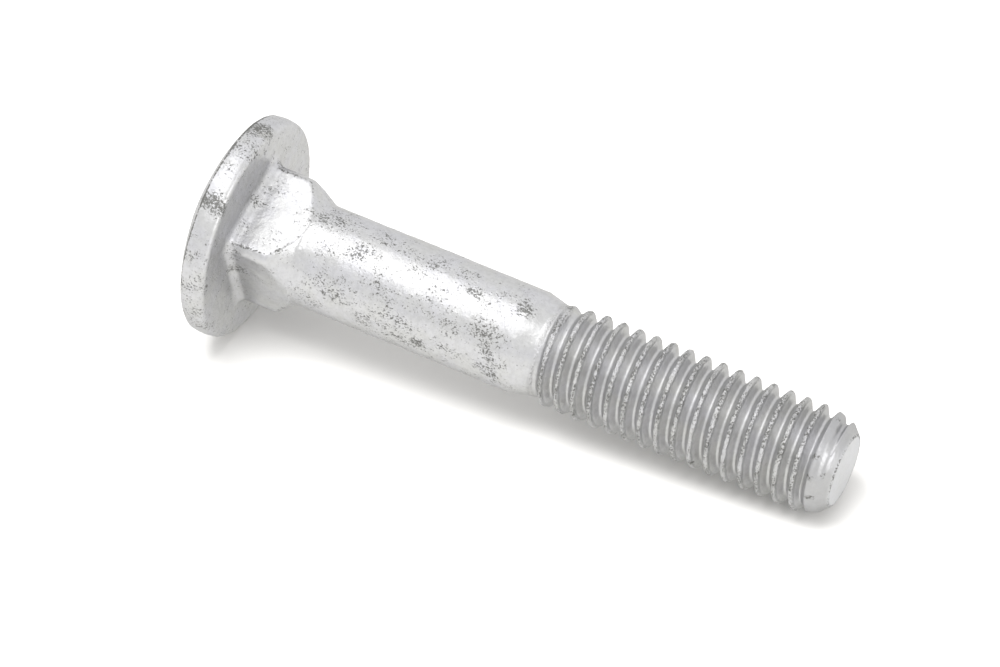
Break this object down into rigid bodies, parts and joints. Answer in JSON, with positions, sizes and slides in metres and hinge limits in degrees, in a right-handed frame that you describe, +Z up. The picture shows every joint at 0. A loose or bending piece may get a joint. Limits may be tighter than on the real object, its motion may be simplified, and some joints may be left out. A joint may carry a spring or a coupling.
{
  "type": "carriage bolt",
  "caption": "Galvanised carriage bolt with a low domed round head, a square neck and a coarse rolled right-hand thread; joins wood or metal with a nut.",
  "frame": {"origin": "centre of the bolt's footprint, on the surface that it lies on", "axes": "+X along the bolt from the head to the tip, +Z up; the bolt's own axis dips towards the tip because it lies on its head and its thread"},
  "size_m": [0.062, 0.0202, 0.0203],
  "materials": {
    "zinc": "hot-dip galvanised zinc, satin, slightly rough"
  },
  "bodies": {
    "root": {"bolt": "zinc"}
  },
  "joints": []
}
